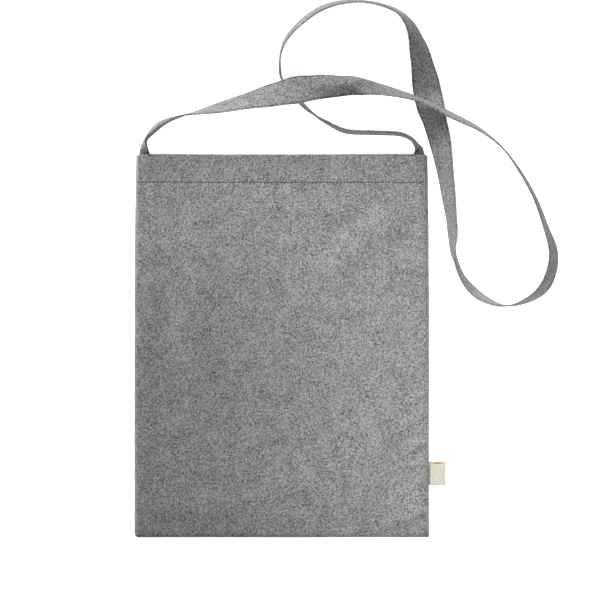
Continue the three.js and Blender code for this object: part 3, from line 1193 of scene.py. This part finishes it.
@dataclass
class Stitching:
    """Rows of stitches, each with a dark bead at its end that paints the shade of the needle puncture."""

    thread: Material
    # Material of the dark beads: painted shade of the needle punctures.
    hole_shade: Material
    pitch: float = 3.45
    length: float = 2.2
    width: float = 0.62
    height: float = 0.32
    # Size of the dark bead that paints a needle puncture's shade.
    hole_shade_size: Point = (2.0, 1.6, 0.3)
    strap_end_clear: float = 14.0
    front_clear: float = 2.6
    back_clear: float = 4.0
    back_sunk: float = 0.06

    def _bead(self, size: Point, name: str) -> tuple[Array, list[tuple[int, ...]]]:
        """Models one rounded bead.

        Args:
            size: Its length, width and height.
            name: Name for the work object.

        Returns:
            Its points in millimetres and its faces.
        """
        bpy.ops.object.select_all(action="DESELECT")
        bpy.ops.mesh.primitive_uv_sphere_add(segments=6, ring_count=4, radius=0.5)
        bead = bpy.context.object
        bead.name = name
        bpy.ops.object.mode_set(mode="EDIT")
        bpy.ops.mesh.select_all(action="SELECT")
        bpy.ops.transform.rotate(value=math.pi / 2, orient_axis="Y", center_override=(0, 0, 0))
        bpy.ops.transform.resize(value=size)
        bpy.ops.object.mode_set(mode="OBJECT")
        points = np.array([vertex.co[:] for vertex in bead.data.vertices])
        sides = [list(face.vertices) for face in bead.data.polygons]
        bpy.data.objects.remove(bead, do_unlink=True)
        # The sphere's faces come in another order on each run, so they are put in a fixed one.
        firsts = [side.index(min(side)) for side in sides]
        faces = sorted(tuple(side[first:] + side[:first]) for side, first in zip(sides, firsts))
        return points, faces

    def sew(self, name: str, stitches: Sequence[tuple], hole_shades: Sequence[tuple]) -> Piece:
        """Copies the bead along rows of places.

        Args:
            name: The object's name.
            stitches: Places of the stitches: points, and vectors along, across and off the cloth.
            hole_shades: Places of the dark beads that paint the shade of the needle punctures, given the same
                way.

        Returns:
            The object of all the stitches.
        """
        points: list[Array] = []
        faces: list[tuple[int, ...]] = []
        slots: list[int] = []
        beads = [
            (self._bead((self.length, self.width, self.height), "stitch_bead"), stitches),
            # Dark beads: painted shade of the needle punctures.
            (self._bead(self.hole_shade_size, "hole_shade_bead"), hole_shades),
        ]
        total = 0
        for slot, ((shape, sides), rows) in enumerate(beads):
            for at, along, across, off in rows:
                copies = (
                    at[:, None]
                    + along[:, None] * shape[None, :, :1]
                    + across[:, None] * shape[None, :, 1:2]
                    + off[:, None] * shape[None, :, 2:]
                )
                for copy in copies:
                    points.append(copy)
                    faces.extend(tuple(total + corner for corner in side) for side in sides)
                    slots.extend([slot] * len(sides))
                    total += len(shape)
        return mesh_object(name, np.concatenate(points), faces, slots, [self.thread, self.hole_shade])

    def strap(self, strap: ShoulderStrap) -> Piece:
        """Stitches along both edges of both faces of the strap.

        Args:
            strap: The strap.

        Returns:
            The stitches' object.
        """
        stops = np.arange(self.strap_end_clear, strap.length - self.strap_end_clear, self.pitch)
        stitches, hole_shades = [], []
        for face in ClothFace:
            for edge in (-1.0, 1.0):
                share = np.full(len(stops), edge)
                inset = np.full(len(stops), strap.stitch_in)
                stitches.append(strap.place(stops, share, inset, face.value, 0.02))
                # A dark bead halfway between stitches: painted shade of a needle puncture.
                hole_shades.append(strap.place(stops + self.pitch / 2, share, inset, face.value, 0.01))
        return self.sew("strap_stitches", stitches, hole_shades)

    def front_hem(self, panel: FrontPanel) -> Piece:
        """Stitches along the front panel's hem.

        Args:
            panel: The front panel.

        Returns:
            The stitches' object.
        """
        half = panel.shape.stitch_half - self.front_clear
        places = []
        for shift, proud in ((0.0, 0.06), (self.pitch / 2, 0.03)):
            x = np.arange(-half, half, self.pitch) + shift
            y = panel.shape.stitch_y + Ripple(11, 0.12).at(x)
            off = panel.normal(x, y)
            at = np.stack([x, y, panel.height(x, y)], axis=-1) + off * proud
            along = unit(np.cross(np.broadcast_to([0.0, 1.0, 0.0], off.shape), off))
            places.append((at, along, np.cross(off, along), off))
        # The second row is dark beads between the stitches: painted shade of the needle punctures.
        return self.sew("front_hem_stitches", places[:1], places[1:])

    def back_hem(self, panel: BackPanel) -> Piece:
        """Stitches let into the groove of the back panel's hem.

        Args:
            panel: The back panel.

        Returns:
            The stitches' object.
        """
        half = panel.shape.stitch_half - self.back_clear
        places = []
        for shift in (0.0, self.pitch / 2):
            x = np.arange(-half, half, self.pitch) + shift
            y = np.full(len(x), panel.shape.stitch_y)
            z = np.full(len(x), panel.groove - self.back_sunk)
            at = np.stack([x, y, z], axis=-1)
            axes = [np.broadcast_to(axis, at.shape) for axis in np.diag([1.0, -1.0, -1.0])]
            places.append((at, *axes))
        # The second row is dark beads between the stitches: painted shade of the needle punctures.
        return self.sew("back_hem_stitches", places[:1], places[1:])


@dataclass(frozen=True)
class SoftLight:
    """A square or oblong studio light, aimed at a point, with the angle that it spreads over."""

    name: str
    at: Point
    aim: Point
    size: Pair
    power: float
    spread: float = 180.0

    def add(self) -> None:
        """Adds the light to the scene."""
        data = bpy.data.lights.new(self.name, "AREA")
        data.shape = "RECTANGLE"
        data.size, data.size_y = self.size
        data.energy = self.power
        data.spread = math.radians(self.spread)
        lamp = bpy.data.objects.new(self.name, data)
        bpy.context.collection.objects.link(lamp)
        away = unit(np.array(self.at) - np.array(self.aim))
        side = unit(np.cross([0.0, 0.0, 1.0], away))
        top = np.cross(away, side)
        rows = [[side[k], top[k], away[k], self.at[k]] for k in range(3)]
        lamp.matrix_world = Matrix([*rows, [0.0, 0.0, 0.0, 1.0]])


@dataclass
class Studio:
    """White table, soft lights and the camera straight above."""

    eye: Point = (0.0187, 0.045, 2.2)
    frame_width: float = 0.601
    floor_size: float = 8.0
    floor_drop: float = 0.0002
    sky: float = 0.24
    lights: tuple[SoftLight, ...] = (
        SoftLight("low_key", (-1.91, 2.89, 1.11), (0.05, 0.08, 0.0), (1.5, 1.5), 30.0),
        SoftLight("high_key", (-1.7, 2.58, 1.91), (0.05, 0.08, 0.0), (1.5, 1.5), 128.0),
        SoftLight("right_strip", (0.28, -0.08, 0.5), (0.135, -0.08, 0.0), (0.42, 0.1), 0.37, 60.0),
        SoftLight("mouth_strip", (-0.04, 0.09, 0.5), (-0.04, 0.16, 0.0), (0.42, 0.1), 0.1, 40.0),
    )

    def _floor(self) -> Piece:
        """The white table top.

        Returns:
            The table top.
        """
        bpy.ops.object.select_all(action="DESELECT")
        bpy.ops.mesh.primitive_plane_add(size=self.floor_size, location=(0, 0, 0))
        floor = bpy.context.object
        floor.name = "floor"
        bpy.ops.object.mode_set(mode="EDIT")
        bpy.ops.mesh.select_all(action="SELECT")
        bpy.ops.mesh.subdivide(number_cuts=3)
        bpy.ops.transform.translate(value=(0, 0, -self.floor_drop))
        bpy.ops.object.mode_set(mode="OBJECT")
        floor.data.materials.append(PaleFloor().material())
        return floor

    def _camera(self) -> None:
        """A camera that looks straight down with the bag's mouth to the top of the picture."""
        data = bpy.data.cameras.new("photo_camera")
        data.sensor_fit = "HORIZONTAL"
        data.sensor_width = 36.0
        data.lens = data.sensor_width * self.eye[2] / self.frame_width
        data.clip_end = 50.0
        camera = bpy.data.objects.new("photo_camera", data)
        camera.location = self.eye
        bpy.context.collection.objects.link(camera)
        bpy.context.scene.camera = camera

    def build(self) -> Piece:
        """Sets the stage.

        Returns:
            The floor.
        """
        floor = self._floor()
        self._camera()
        for light in self.lights:
            light.add()
        world = bpy.data.worlds.new("studio_sky")
        world.use_nodes = True
        backdrop = world.node_tree.nodes["Background"]
        backdrop.inputs["Color"].default_value = (1.0, 1.0, 1.0, 1.0)
        backdrop.inputs["Strength"].default_value = self.sky
        bpy.context.scene.world = world
        bpy.context.scene.view_settings.view_transform = "Standard"
        return floor


@dataclass
class CottonBag:
    """The whole bag: its panels, strap and label, with their stitches."""

    floor: Piece
    shape: PanelShape = field(default_factory=PanelShape)
    tape: WovenTape = WovenTape("cream_woven_tape", (0.55, 0.527, 0.458), (0.39, 0.363, 0.295))
    # Darker ochre of the label's inner face: painted shade inside the loop, with its warm bounce.
    inside: WovenTape = WovenTape("tape_inside_painted_shade", (0.42, 0.28, 0.11), (0.3, 0.19, 0.07))
    thread: SewingThread = SewingThread("grey_thread", (0.08, 0.08, 0.08), (0.17, 0.17, 0.167))
    # Near-black beads: painted shade of the needle punctures between stitches.
    hole_shade: SewingThread = SewingThread("needle_hole_painted_shade", (0.012, 0.012, 0.012), (0.03, 0.03, 0.03))
    panel_cut: Pair = (0.296, 0.412)
    label_cut: Pair = (0.0228, 0.036)

    def _fit(self, piece: Piece, node: str | None = None) -> Piece:
        """Puts a piece on the frame.

        Args:
            piece: The piece.
            node: The CAD node that it stands for, if any.

        Returns:
            The piece.
        """
        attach(piece, "root")
        if node:
            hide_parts(node)
        LOG.info("%s: %d faces", piece.name, len(piece.data.polygons))
        return piece

    def build(self) -> None:
        cloth = MelangeCotton().material()
        tape, inside = self.tape.material(), self.inside.material()
        sewing = Stitching(self.thread.material(), self.hole_shade.material())
        back, front = BackPanel(self.shape, cloth), FrontPanel(self.shape, cloth)
        strap = ShoulderStrap(cloth)
        back_cloth = self._fit(back.build(), "back_panel")
        front_cloth = self._fit(front.build(), "front_panel")
        strap_cloth = self._fit(strap.build(), "shoulder_strap")
        label = self._fit(SideLabel(tape, inside).build(), "side_label")
        back_stitches = self._fit(sewing.back_hem(back))
        front_stitches = self._fit(sewing.front_hem(front))
        strap_stitches = self._fit(sewing.strap(strap))
        strap_cut = (strap.width * MM, strap.length * MM)


def main() -> None:
    """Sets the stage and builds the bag."""
    logging.basicConfig(level=logging.INFO, format="%(name)s: %(message)s")
    floor = Studio().build()
    CottonBag(floor).build()


if __name__ == "__main__":
    main()
